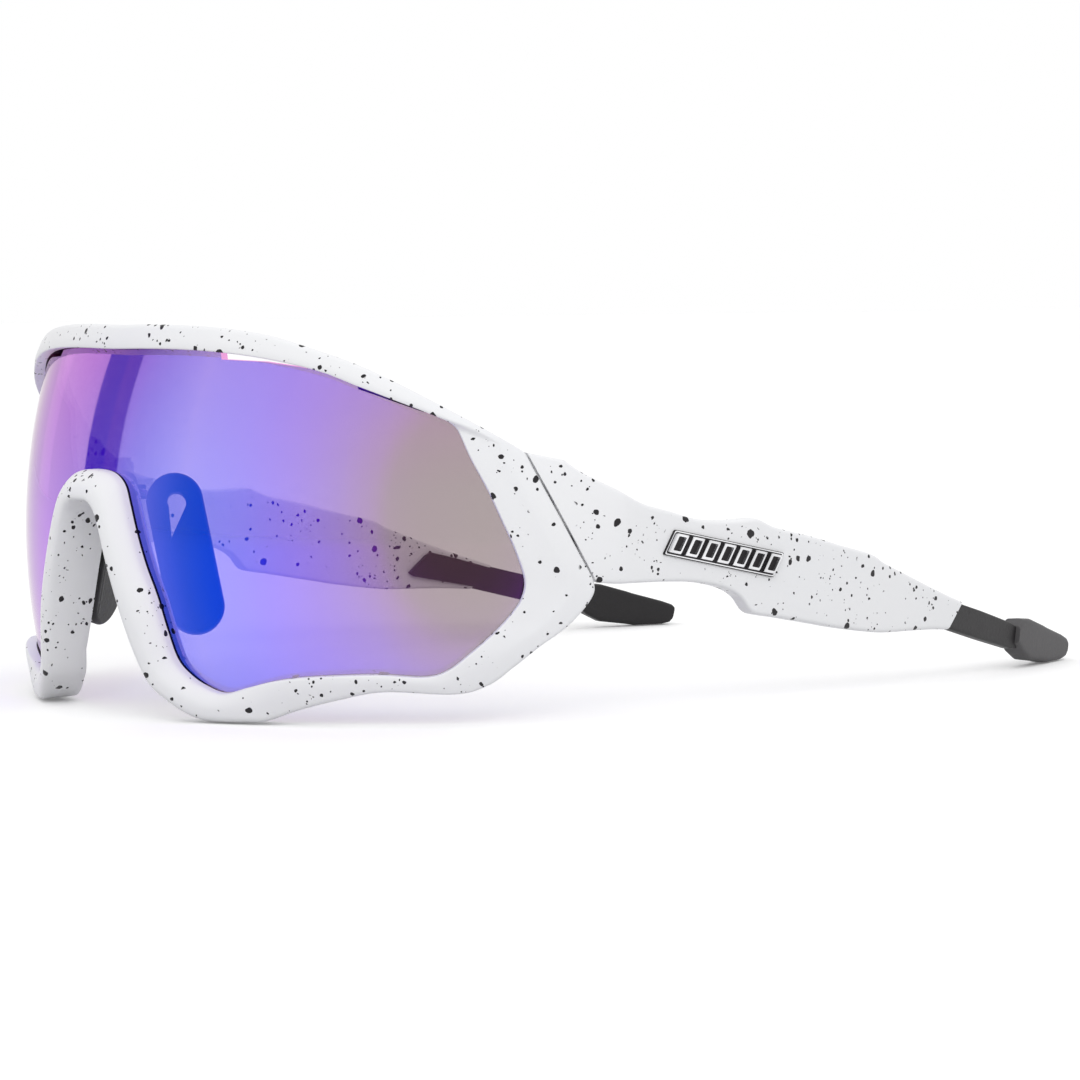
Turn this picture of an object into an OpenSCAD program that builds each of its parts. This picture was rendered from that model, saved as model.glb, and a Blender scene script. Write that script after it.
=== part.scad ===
// Wraparound sport sunglasses: a full rim with a one-piece shield lens, two folding temples
// with rubber ends, and two soft nose pads that swivel on a wire.
// X runs across the face, Y from the front to the temple tips, Z up. The origin is under the
// middle of the glasses, on the surface that they stand on.

/* [Lens] */
// Radius of the lens across the face
lens_r = 74; // [72:0.5:76]
// Radius of the lens from brow to cheek
lens_rise_r = 108; // [100:1:120]
// Thickness of the lens
lens_t = 1.8; // [1.4:0.1:1.8]
// Height of the most forward line of the lens
lens_mid_z = 27; // [24:0.5:30]
// Drop of the vents along the top edge of the lens
vent_drop = 3.2; // [2.4:0.2:4]

/* [Rim] */
// How far the rim stands in front of the lens
rim_proud = 2.2; // [1.8:0.1:2.4]
// How far the rim reaches behind the front of the lens
rim_back = 3; // [2.8:0.1:3.2]
// Depth of the groove that holds the lens
groove_d = 2.2; // [1.8:0.1:2.2]
// How far the edge of the nose arch stands in front of the rest of the rim
nose_crest = 2.8; // [1:0.2:3.4]
// Wall of the nose arch at its back
nose_wall = 2.3; // [1.8:0.1:2.6]

/* [Temples] */
// Half width of the glasses over the temples
arm_x = 73; // [72.5:0.1:74]
// How far the tips curve inwards
arm_bow = 18; // [10:1:20]
// Thickness of the temple at its front
arm_t = 3.2; // [2.8:0.1:3.4]
// Gap of the seam between rim and temple, in degrees round the lens
seam_gap = 0.15; // [0.15:0.05:0.4]

/* [Hinges] */
// Distance of the hinge pin from the middle
pin_x = 64; // [63.8:0.1:64.2]
// Radius of the hinge pin
pin_r = 0.7; // [0.6:0.05:0.8]
// Running clearance round the hinge pin
pin_gap = 0.05; // [0.02:0.01:0.1]
// Radius of the hinge knuckles
knuckle_r = 2; // [1.8:0.1:2.1]
// Height of the lowest knuckle
knuckle_z = 27; // [26.6:0.1:27.6]
// Height of each knuckle
knuckle_h = 3.6; // [3:0.1:3.8]

/* [Nose pads] */
// Distance of each leg of the pad wire from the middle
wire_x = 9.4; // [9.2:0.1:10]
// How far the legs of the wire splay
wire_splay = 18; // [14:0.5:18]
// Radius of the pad wire
wire_r = 0.6; // [0.5:0.05:0.7]
// Depth of a nose pad
pad_d = 9.4; // [8:0.2:10]
// Thickness of a nose pad
pad_t = 2.8; // [2.2:0.1:3]
// Angle at which the pads open towards the face
pad_flare = 28; // [20:1:32]

/* [Hidden] */
$fn = 48;
fit = 0.1;                  // clearance between pieces that do not move
axis_y = 25;                // axis of the lens curve behind the hinge pins
nose_y = -43.5;             // back of the nose arch
nose_top = 35.8;            // top of the nose arch
tip_y = 127.6;              // end of the temple tips
wire_y = -41.9;             // line of the pad wire
wire_z = 27;                // height at which wire_x is measured
wire_bend_z = 34;           // where the wire's legs start to bend over the nose
wire_top = 36.8;            // height of the wire over the nose
pad_low = -14.6;            // lowest point of a pad, along its leg of the wire from wire_z
pad_high = 13;              // highest point of a pad
barrel_low = -12;           // lowest point of the sleeve that turns on the wire
barrel_high = 5.6;          // highest point of that sleeve
deg_mm = lens_r * PI / 180; // length of one degree round the lens

// How far the lens curve has fallen back at height z
function drop(z) = lens_rise_r - sqrt(pow(lens_rise_r, 2) - pow(z - lens_mid_z, 2));

// A point on the lens curve: angle a from the middle, height z, depth off in front of it
function face(a, z, off) = let (r = lens_r + off - drop(z))
    [r * sin(a), axis_y - r * cos(a), z];

front_y = face(0, nose_top, rim_proud + nose_crest)[1];
mid_y = (front_y + tip_y) / 2;
module place() translate([0, -mid_y, 0]) children();
module right() mirror([1, 0, 0]) children();

// ---- Rim outline: half of it, from the brow round the side to the nose ----
// Each row: angle and height of the opening, angle and height of the outside, nose share
seam_top = [61.6, 43.9];
seam_low = [70, 22.7];
function seam_a(z) = seam_top[0]
    + (seam_top[1] - z) * (seam_low[0] - seam_top[0]) / (seam_top[1] - seam_low[1]);
half_rim = [
    [0, 60.8, 0, 65, 0], [7, 60.9, 7, 65.1, 0], [14, 60.8, 14.5, 64.9, 0],
    [20, 60.4, 21, 64.4, 0], [26, 59.6, 27.5, 63.3, 0], [31.5, 58.4, 33.5, 61.3, 0],
    [36, 57, 39.5, 58.8, 0], [40, 55.1, 44.8, 55.9, 0], [44, 53.2, 49.3, 53, 0],
    [48.5, 51, 53.8, 49.9, 0], [51.8, 49.2, 58, 46.8, 0], [53, 48, 60.8, 44.6, 0],
    [53.6, 46.6, seam_a(43.6), 43.6, 0], [54.8, 43, seam_a(41), 41, 0],
    [56.8, 38, seam_a(36), 36, 0], [58.5, 33, seam_a(31), 31, 0],
    [60, 28.5, seam_a(27), 27, 0], [61.2, 23.5, seam_a(22.8), 22.8, 0],
    [60.8, 20.5, 69.6, 20, 0], [59.5, 18, 66.8, 15.9, 0], [57.4, 15.1, 63.2, 12.6, 0],
    [54.5, 11.9, 59.8, 9.2, 0], [51.5, 9, 56.7, 6.4, 0], [48.6, 8, 52.5, 5, 0],
    [43, 8.4, 43.5, 5.4, 0], [37.2, 8.2, 37.5, 4, 0], [32.6, 7.8, 32, 2.2, 0],
    [28.9, 7.1, 28.4, 0.6, 0.1], [25.4, 6, 26, 0.1, 0.3], [21.4, 4.8, 19.4, 0.1, 0.6],
    [18.3, 5.9, 16.2, 1.3, 0.8], [16, 7.6, 13.6, 3.4, 0.9], [14.2, 10, 11.4, 5.8, 1],
    [13, 14.4, 9.8, 10, 1], [11.6, 20.3, 8.2, 15.6, 1], [9.8, 25.5, 6.9, 21, 1],
    [8.2, 30.7, 5.6, 26.2, 1], [6.8, 35.5, 4.4, 31, 1], [5.6, 38.6, 3.3, 34, 1],
    [3.4, 40.4, 1.8, 35.6, 1], [0, 40.9, 0, nose_top, 1]];
last_row = len(half_rim) - 1;
lens_rows = [17, 18];       // the opening's upper half ends at the first, its lower half starts at the second
rim_steps = 2;              // stations between two rows

function mirrored(row) = [-row[0], row[1], -row[2], row[3], row[4]];
function rim_row(i) = i < 0 ? mirrored(half_rim[-i])
    : i > last_row ? mirrored(half_rim[2 * last_row - i]) : half_rim[i];
// A smooth curve through four neighbouring rows, between the middle two
function smooth(a, b, c, d, t) = (2 * b + (c - a) * t + (2 * a - 5 * b + 4 * c - d) * t * t
    + (3 * b - a - 3 * c + d) * t * t * t) / 2;
half_stations = [for (i = [0:last_row - 1]) for (k = [0:rim_steps - 1])
    smooth(rim_row(i - 1), rim_row(i), rim_row(i + 1), rim_row(i + 2), k / rim_steps)];
stations = concat(half_stations, [half_rim[last_row]],
    [for (i = [len(half_stations) - 1:-1:1]) mirrored(half_stations[i])]);

function width(s) = norm([(s[2] - s[0]) * deg_mm, s[3] - s[1]]);
// A point w mm outside the opening's edge of station s
function across(s, w, off) = let (f = w / width(s))
    face(s[0] + f * (s[2] - s[0]), s[1] + f * (s[3] - s[1]), off);
// The same point moved back to the nose arch's rear, by the station's nose share
function nose_back(s, w) = let (n = max(0, min(1, s[4])),
    p = across(s, w - (1 - n) * back_in, -rim_back))
    [p[0], p[1] + n * max(0, nose_y - p[1]), p[2]];

edge = 0.7;                 // rounding of the rim's outside
back_in = 1.2;              // how far the rim's back is set in from its front
back_wall = 1;              // width of the rim's back behind the groove
lip = 0.8;                  // how far the groove's back lip sits from the opening
lip_t = 1;                  // thickness of that lip
// Behind the side vents the lip reaches further in, with a dark seal on it
lip_reach = 2.8;
lip_stretch = [[39, 0], [41.5, 1], [50, 1], [52.4, 0]];
function lip_at(s) = lip - (s[1] > lens_mid_z ? lip_reach * lookup(abs(s[0]), lip_stretch) : 0);
function rim_ring(s) = let (l = width(s), crest = rim_proud + nose_crest * max(0, s[4]))
    [across(s, 0, rim_proud - edge), across(s, edge, rim_proud),
    across(s, l - edge, crest), across(s, l, crest - edge), nose_back(s, l),
    nose_back(s, l - back_wall), across(s, l - nose_wall - 0.1, -rim_back),
    across(s, lip_at(s), -rim_back), across(s, lip_at(s), -rim_back + lip_t),
    across(s, groove_d, -rim_back + lip_t), across(s, groove_d, fit), across(s, 0, fit)];

// Skin through a list of rings of points; a loop joins its last ring to its first
module skin(rings, loop = false) {
    n = len(rings[0]);
    m = len(rings);
    sides = [for (i = [0:m - (loop ? 1 : 2)]) for (k = [0:n - 1])
        for (half = [0, 1]) let (j = (i + 1) % m, q = (k + 1) % n)
            half == 0 ? [i * n + k, j * n + k, j * n + q] : [i * n + k, j * n + q, i * n + q]];
    caps = loop ? [] : [[for (k = [0:n - 1]) k], [for (k = [n - 1:-1:0]) (m - 1) * n + k]];
    polyhedron([for (r = rings) each r], concat(sides, caps), convexity = 8);
}

module rim()
    color("white") place() skin([for (s = stations) rim_ring(s)], loop = true);

// ---- Lens ----
edge_fit = 0.2;             // gap between the lens edge and the bottom of the groove
function lens_edge(i) = let (s = half_rim[i], f = (groove_d - edge_fit) / width(s))
    [s[0] + f * (s[2] - s[0]), s[1] + f * (s[3] - s[1])];
upper_edge = [for (i = [0:lens_rows[0]]) lens_edge(i)];
lower_edge = [for (i = [last_row:-1:lens_rows[1]]) lens_edge(i)];
vents = [[19, 0], [20, 1], [33, 0.62], [34, 0], [39, 0], [42, 0.3],
    [45, 0.34], [48, 0.25], [51, 0.14], [52.3, 0]];
function lens_high(a) = lookup(a, upper_edge) - vent_drop * lookup(a, vents);
lens_end = lens_edge(lens_rows[1])[0];
lens_cols = 96;
lens_rows_n = 8;
function lens_ring(a) = let (low = lookup(abs(a), lower_edge), high = lens_high(abs(a)),
    steps = [for (k = [0:lens_rows_n]) low + (high - low) * k / lens_rows_n])
    concat([for (z = steps) face(a, z, 0)],
        [for (k = [lens_rows_n:-1:0]) face(a, steps[k], -lens_t)]);

module lens()
    color("mediumslateblue", 0.6) place()
        skin([for (i = [0:lens_cols]) lens_ring(lens_end * (2 * i / lens_cols - 1))]);

// ---- Temple ----
// Half width of the outer skin of the temple at y: the lens curve, then the arm, then the bow
bow_y = 30;
function skin_x(y, z) = min(sqrt(pow(lens_r + rim_proud - drop(z), 2) - pow(max(0, axis_y - y), 2)),
    arm_x - arm_bow * pow(max(0, y - bow_y) / (tip_y - bow_y), 2));
// A point d mm inside that skin
function inside(y, z, d) = let (s = skin_x(y + 0.5, z) - skin_x(y - 0.5, z), n = norm([1, s]))
    [skin_x(y, z) - d / n, y + d * s / n, z];
// A ring between a top and a low point [y, z], from depth d0 to depth d1, with cut corners c
function bar_ring(top, low, d0, d1, c) = let (f = c / (top[1] - low[1]))
    [for (p = [[0, d0 + c], [f, d0], [1 - f, d0], [1, d0 + c],
        [1, d1 - c], [1 - f, d1], [f, d1], [0, d1 - c]])
        let (q = top + p[0] * (low - top)) inside(q[0], q[1], p[1])];
module bar(rows, d0, d1, c)
    skin([for (r = rows) bar_ring([r[0], r[1]], [r[2], r[3]], d0, d1, c)]);

// Seam end of the temple: a ring on the lens curve itself
function seam_ring(c) = [for (p = [[0, c], [0.06, 0], [0.94, 0], [1, c],
    [1, arm_t - c], [0.94, arm_t], [0.06, arm_t], [0, arm_t - c]])
    let (q = seam_top + p[0] * (seam_low - seam_top))
    face(q[0] + seam_gap, q[1], rim_proud - p[1])];
// Rows of top y, top z, low y, low z
temple_rows = [[-5, 42.6, 0.5, 22.5], [-2.5, 40.6, 1.5, 22.4], [2, 38.2, 3, 22.3],
    [8, 35.2, 8, 22.2], [14, 33.6, 14, 22], [20, 32, 20, 21.5], [26, 31.4, 26, 20.2],
    [30, 31.4, 29.6, 18.4], [33, 31.4, 32, 15.8], [35, 30.8, 35, 15], [38, 29.6, 38, 14.5],
    [46, 27.8, 46, 13], [54, 25.7, 54, 11.5], [62, 23.7, 62, 10.3], [65.5, 22, 66, 9.9],
    [72, 19.5, 72, 9.7], [80, 16.5, 79, 9.4], [88.5, 13.6, 83.8, 9]];
corner = 0.7;
module temple()
    color("white") place() skin(concat([seam_ring(corner)],
        [for (r = temple_rows) bar_ring([r[0], r[1]], [r[2], r[3]], 0, arm_t, corner)]));
module left_temple() temple();
module right_temple() right() temple();

// Black core that carries the tip: its front is buried in the temple
core_rows = [[72, 16, 72, 12.5], [82.5, 13.6, 82.5, 10.6], [83.5, 14.6, 83.5, 9.4],
    [96, 11.3, 96, 6.1], [106, 8.5, 106, 3.7], [109, 7.2, 109, 3.4], [121, 4.2, 121, 1.6]];
module temple_core()
    color([0.18, 0.17, 0.18]) place() bar(core_rows, 0.5, arm_t - 0.5, 0.4);
module left_temple_core() temple_core();
module right_temple_core() right() temple_core();

tip_rows = [[108, 7.7, 107.2, 4.5], [109.4, 8.8, 109, 2.7], [112.4, 8.6, 112, 1.1],
    [117.6, 7, 117.6, 0.3], [119, 6.5, 119, 0], [125, 4.7, 125, 0], [127.1, 3.9, 126.5, 0.3],
    [127.6, 3.4, 127, 0.8]];
module tip()
    color([0.3, 0.29, 0.3]) place() bar(tip_rows, -0.4, arm_t + 0.4, 0.7);
module left_tip() tip();
module right_tip() right() tip();

// Rubber strip on the inside of the temple
grip_rows = [[73.6, 16.4, 69.6, 13], [74.6, 16.9, 70.6, 12.3], [80, 15.5, 79, 10.6],
    [88.4, 13, 84.4, 9.5]];
grip_t = 1;
glue = 0.03;                // glue line under the strip
module inner_grip()
    color([0.15, 0.15, 0.15]) place() bar(grip_rows, arm_t + glue, arm_t + grip_t, 0.3);
module left_inner_grip() inner_grip();
module right_inner_grip() right() inner_grip();

// ---- Badge: a slanted plate with raised slats, held by two posts ----
badge_y = 12;               // front end of the badge
badge_z = 26.6;             // its lower front corner
badge_l = 25;               // its length
badge_h = 4.4;              // its height
badge_lean = 1.7;           // how far its top leans back
badge_fall = -12;           // its slope, along the temple
badge_base = 0.6;           // thickness of the plate
badge_slat = 0.7;           // height of the slats on it
slats = 7;
module slanted(l, h) polygon([[0, 0], [l, 0], [l + badge_lean * h / badge_h, h],
    [badge_lean * h / badge_h, h]]);
module badge() {
    pitch = badge_l / slats;
    color([0.35, 0.34, 0.36]) place()
        translate([arm_x - 0.2, badge_y, badge_z]) rotate([90, 0, 90]) rotate(badge_fall) {
            linear_extrude(badge_base) slanted(badge_l, badge_h);
            for (i = [0:slats - 1])
                translate([(i + 0.15) * pitch, 0.5, 0])
                    linear_extrude(badge_base + badge_slat) slanted(pitch * 0.6, badge_h - 1);
            for (f = [0.2, 0.8])
                translate([f * badge_l + badge_lean / 2, badge_h / 2, -1.5])
                    cylinder(r = 0.8, h = 1.6);
        }
}
module left_badge() badge();
module right_badge() right() badge();

// ---- Hinge: two knuckles on the rim, one on the temple, and the screw that joins them ----
leaf_t = 1.4;
knuckle_gap = 0.1;
middle_z = knuckle_z + knuckle_h + knuckle_gap;
top_z = middle_z + knuckle_h + knuckle_gap;
screw_top = top_z + knuckle_h;
module knuckle(z, h) translate([pin_x, 0, z]) cylinder(r = knuckle_r, h = h);
module pin_bore() translate([pin_x, 0, knuckle_z - 1])
    cylinder(r = pin_r + pin_gap, h = 3 * knuckle_h + 3);
// A flat leaf from one point to another in plan, between two heights
module leaf(from, to, z, h) {
    d = to - from;
    translate([from[0], from[1], z]) rotate(atan2(d[1], d[0]))
        translate([0, -leaf_t / 2, 0]) cube([norm(d), leaf_t, h]);
}
module rim_hinge()
    color("silver") place() difference() {
        union() for (z = [knuckle_z, top_z]) {
            knuckle(z, knuckle_h);
            leaf([pin_x + 0.3, -0.5], [62.5, -8.5], z, knuckle_h);
        }
        pin_bore();
    }
module left_rim_hinge() rim_hinge();
module right_rim_hinge() right() rim_hinge();

arm_in = arm_x - arm_t;     // inner face of the temple behind the hinge
module temple_hinge()
    color("silver") place() difference() {
        union() {
            knuckle(middle_z, knuckle_h);
            leaf([pin_x, 0], [arm_in + 0.4, 7], middle_z, knuckle_h);
            leaf([arm_in + 0.3, 6.2], [arm_in + 0.3, 10.5], middle_z, knuckle_h);
        }
        pin_bore();
    }
module left_temple_hinge() temple_hinge();
module right_temple_hinge() right() temple_hinge();

head_r = 1.5;
head_h = 0.8;
module hinge_screw()
    color("gray") place() translate([pin_x, 0, 0]) difference() {
        union() {
            translate([0, 0, knuckle_z - 0.4]) cylinder(r = pin_r, h = screw_top - knuckle_z + 0.4);
            translate([0, 0, screw_top]) cylinder(r = head_r, h = head_h);
        }
        translate([-head_r, -0.2, screw_top + head_h / 2]) cube([2 * head_r, 0.4, head_h]);
    }
module left_hinge_screw() hinge_screw();
module right_hinge_screw() right() hinge_screw();

// ---- Nose piece: a bent wire held by a clip, and a pad that turns on each leg ----
// A leg's own frame has its Z up the leg, and its origin where the leg passes wire_z
module leg_frame() translate([wire_x, wire_y, wire_z]) rotate([0, -wire_splay, 0]) children();
bend_r = (wire_top - wire_bend_z) / (1 - sin(wire_splay));
bend_x = wire_x - (wire_bend_z - wire_z) * tan(wire_splay);
bar_half = bend_x - bend_r * cos(wire_splay);
// The wire is swept as rings of points from the foot of one leg, over the nose, to the other
bend_steps = 5;
wire_sides = 16;
function bend_turn(i) = wire_splay + (90 - wire_splay) * i / bend_steps;
function wire_ring(x, z, a) = [for (k = [0:wire_sides - 1]) let (b = 360 * k / wire_sides)
    [x + wire_r * cos(b) * cos(a), wire_y + wire_r * sin(b), z + wire_r * cos(b) * sin(a)]];
function bend_ring(a) = wire_ring(bar_half + bend_r * cos(a),
    wire_top - bend_r + bend_r * sin(a), a);
function flipped(ring) = [for (p = ring) [-p[0], p[1], p[2]]];
leg_foot = barrel_low - 1.2;
half_wire = concat([wire_ring(wire_x - leg_foot * sin(wire_splay),
    wire_z + leg_foot * cos(wire_splay), wire_splay)],
    [for (i = [0:bend_steps]) bend_ring(bend_turn(i))]);
module nose_wire()
    color("silver") place()
        skin(concat(half_wire, [for (i = [len(half_wire) - 1:-1:0]) flipped(half_wire[i])]));

clip_w = 4.6;
clip_h = 2.4;
module nose_clip()
    color([0.12, 0.12, 0.12]) place()
        translate([-clip_w / 2, nose_y + fit, wire_top - clip_h / 2]) difference() {
            cube([clip_w, wire_y - nose_y + wire_r + 0.5, clip_h]);
            translate([-1, wire_y - nose_y - fit, clip_h / 2])
                rotate([0, 90, 0]) cylinder(r = wire_r, h = clip_w + 2);
        }

barrel_r = 1.5;
wire_room = 1;              // half width of the channel in which the bent wire leaves the pad
slot_r = 1.6;
slot = [5, 8];            // centre of the drop-shaped slot, from the pad's front and wire_z
slot_tip = [2.9, 2.2];        // its sharp end
module pad_shape() {
    r = pad_d / 2;
    difference() {
        union() {
            for (z = [pad_low + r, pad_high - r]) translate([r, z]) circle(r);
            translate([0, pad_low + r]) square([pad_d, pad_high - pad_low - pad_d]);
        }
        translate(slot) circle(slot_r);
        polygon([slot - [slot_r, 0], slot_tip, slot + [slot_r, 0]]);
    }
}
module nose_pad()
    color([0.1, 0.1, 0.1]) place() leg_frame() difference() {
        union() {
            rotate(90 - pad_flare) translate([-barrel_r, pad_t / 2, 0]) rotate([90, 0, 0])
                linear_extrude(pad_t) pad_shape();
            translate([0, 0, barrel_low]) cylinder(r = barrel_r, h = barrel_high - barrel_low);
        }
        translate([0, 0, pad_low - 1])
            cylinder(r = wire_r + pin_gap, h = pad_high - pad_low + 2);
        translate([0, 0, barrel_high]) {
            cylinder(r = wire_room, h = pad_high);
            translate([-3, -wire_room, 0]) cube([3, 2 * wire_room, pad_high]);
        }
    }
module left_nose_pad() nose_pad();
module right_nose_pad() right() nose_pad();

rim();
lens();
nose_wire();
nose_clip();
left_nose_pad();
right_nose_pad();
left_rim_hinge();
right_rim_hinge();
left_hinge_screw();
right_hinge_screw();
left_temple();
right_temple();
left_temple_hinge();
right_temple_hinge();
left_badge();
right_badge();
left_temple_core();
right_temple_core();
left_inner_grip();
right_inner_grip();
left_tip();
right_tip();
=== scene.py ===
"""Looks of the wraparound sport sunglasses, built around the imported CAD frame.

Lengths in the shape code are millimetres in the CAD's own design frame, whose Y is zero at the
hinge pins. place() turns them into metres in the row frame.
"""

import math

import bmesh
import bpy
from mathutils import Matrix, Vector


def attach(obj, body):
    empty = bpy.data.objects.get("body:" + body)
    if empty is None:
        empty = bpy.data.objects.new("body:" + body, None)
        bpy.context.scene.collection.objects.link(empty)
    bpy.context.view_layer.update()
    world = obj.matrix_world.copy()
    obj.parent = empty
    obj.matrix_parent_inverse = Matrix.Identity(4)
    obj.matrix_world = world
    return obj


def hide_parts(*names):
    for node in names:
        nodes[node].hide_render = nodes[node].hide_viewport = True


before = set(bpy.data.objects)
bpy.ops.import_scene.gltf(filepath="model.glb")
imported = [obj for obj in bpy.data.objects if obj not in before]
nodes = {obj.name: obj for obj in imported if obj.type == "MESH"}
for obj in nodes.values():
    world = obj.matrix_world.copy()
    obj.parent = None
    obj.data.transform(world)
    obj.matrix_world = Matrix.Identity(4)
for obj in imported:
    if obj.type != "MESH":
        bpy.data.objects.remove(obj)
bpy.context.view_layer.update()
MM = 0.001

# ---------------------------------------------------------------- camera
CAMERA_AT = (0.580776, -0.477024, 0.076747)
CAMERA_RIGHT = (0.643432, 0.765392, -0.013058)
CAMERA_AIM = (-0.764178, 0.641222, -0.069756)
CAMERA_LENS = 139.39


def make_camera():
    data = bpy.data.cameras.new("camera")
    data.lens = CAMERA_LENS
    data.sensor_width = 36
    data.clip_start = 0.01
    cam = bpy.data.objects.new("camera", data)
    bpy.context.scene.collection.objects.link(cam)
    right = Vector(CAMERA_RIGHT).normalized()
    back = -Vector(CAMERA_AIM).normalized()
    up = back.cross(right).normalized()
    turn = Matrix((right, up, back)).transposed().to_4x4()
    cam.matrix_world = Matrix.Translation(CAMERA_AT) @ turn
    bpy.context.scene.camera = cam


make_camera()

# ---------------------------------------------------------------- numbers shared with the CAD
LENS_R, RISE_R, LENS_MID_Z, AXIS_Y = 74, 108, 27, 25
LENS_T, VENT_DROP = 1.8, 3.2
RIM_PROUD, RIM_BACK, GROOVE_D = 2.2, 3, 2.2
NOSE_CREST, NOSE_WALL, NOSE_Y, NOSE_TOP = 2.8, 2.3, -43.5, 35.8
ARM_X, ARM_BOW, ARM_T, BOW_Y, TIP_Y = 73, 18, 3.2, 30, 127.6
FIT, SEAM_GAP = 0.1, 0.15
WIRE_X, WIRE_SPLAY, WIRE_Y, WIRE_Z = 9.4, 18, -41.9, 27
PAD_D, PAD_T, PAD_FLARE, PAD_LOW, PAD_HIGH = 9.4, 2.8, 28, -14.6, 13
BARREL_R, BARREL_LOW, BARREL_HIGH = 1.5, -12, 5.6
BACK_IN, BACK_WALL, LIP, LIP_T = 1.2, 1, 0.8, 1
LIP_REACH, LIP_STRETCH = 2.8, [(39, 0), (41.5, 1), (50, 1), (52.4, 0)]
DEG_MM = LENS_R * math.pi / 180


def drop(z):
    return RISE_R - math.sqrt(RISE_R**2 - (z - LENS_MID_Z) ** 2)


def face(a, z, off):
    """A point on the lens curve: angle a from the middle, height z, depth off in front."""
    r = LENS_R + off - drop(z)
    return (r * math.sin(math.radians(a)), AXIS_Y - r * math.cos(math.radians(a)), z)


MID_Y = (face(0, NOSE_TOP, RIM_PROUD + NOSE_CREST)[1] + TIP_Y) / 2


def place(p):
    return (p[0] * MM, (p[1] - MID_Y) * MM, p[2] * MM)


def lookup(x, table):
    if x <= table[0][0]:
        return table[0][1]
    for (x0, y0), (x1, y1) in zip(table, table[1:]):
        if x <= x1:
            return y0 + (y1 - y0) * (x - x0) / (x1 - x0)
    return table[-1][1]


def smooth(a, b, c, d, t):
    """A Catmull-Rom curve through four rows, between the middle two."""
    return [
        (2 * q + (r - p) * t + (2 * p - 5 * q + 4 * r - s) * t * t + (3 * q - p - 3 * r + s) * t**3) / 2
        for p, q, r, s in zip(a, b, c, d)
    ]


def softstep(x, low, high):
    t = max(0.0, min(1.0, (x - low) / (high - low)))
    return t * t * (3 - 2 * t)


# ---------------------------------------------------------------- mesh tools
SHARP = math.radians(38)


def make_mesh(name, points, faces, material, face_slots=None, sharp=SHARP):
    mesh = bpy.data.meshes.new(name)
    mesh.from_pydata([place(p) for p in points], [], faces)
    materials = material if isinstance(material, list) else [material]
    for m in materials:
        mesh.materials.append(m)
    if face_slots:
        mesh.polygons.foreach_set("material_index", face_slots)
    bm = bmesh.new()
    bm.from_mesh(mesh)
    bmesh.ops.recalc_face_normals(bm, faces=bm.faces)
    for f in bm.faces:
        f.smooth = True
    for e in bm.edges:
        e.smooth = len(e.link_faces) == 2 and e.calc_face_angle(0) < sharp
    bm.to_mesh(mesh)
    bm.free()
    obj = bpy.data.objects.new(name, mesh)
    bpy.context.scene.collection.objects.link(obj)
    return obj


def loft(name, rings, material, loop=False, **more):
    """A skin of quads through rings of points, its ends closed unless it is a loop."""
    n, m = len(rings[0]), len(rings)
    faces = []
    for i in range(m if loop else m - 1):
        j = (i + 1) % m
        for k in range(n):
            q = (k + 1) % n
            faces.append((i * n + k, j * n + k, j * n + q, i * n + q))
    if not loop:
        faces.append(tuple(range(n)))
        faces.append(tuple((m - 1) * n + k for k in reversed(range(n))))
    return make_mesh(name, [p for r in rings for p in r], faces, material, **more)


def rounded(points, radii, steps):
    """The ring through points with each corner cut back by its radius and rounded."""
    ring = []
    n = len(points)
    for i, p in enumerate(points):
        p, a, b = Vector(p), Vector(points[i - 1]), Vector(points[(i + 1) % n])
        if radii[i] == 0:
            ring.append(p)
            continue
        ra = min(radii[i], 0.45 * (a - p).length)
        rb = min(radii[i], 0.45 * (b - p).length)
        start = p + (a - p).normalized() * ra
        end = p + (b - p).normalized() * rb
        for k in range(steps + 1):
            t = k / steps
            ring.append(start * (1 - t) ** 2 + p * 2 * t * (1 - t) + end * t * t)
    return ring


def add(obj, body, slot, *replaced):
    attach(obj, body)
    if replaced:
        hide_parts(*replaced)
    return obj


def mirror_x(obj, name):
    """A mirrored copy of obj, for the wearer's right side."""
    mesh = obj.data.copy()
    mesh.transform(Matrix.Scale(-1, 4, (1, 0, 0)))
    mesh.flip_normals()
    other = bpy.data.objects.new(name, mesh)
    bpy.context.scene.collection.objects.link(other)
    return other


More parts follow.
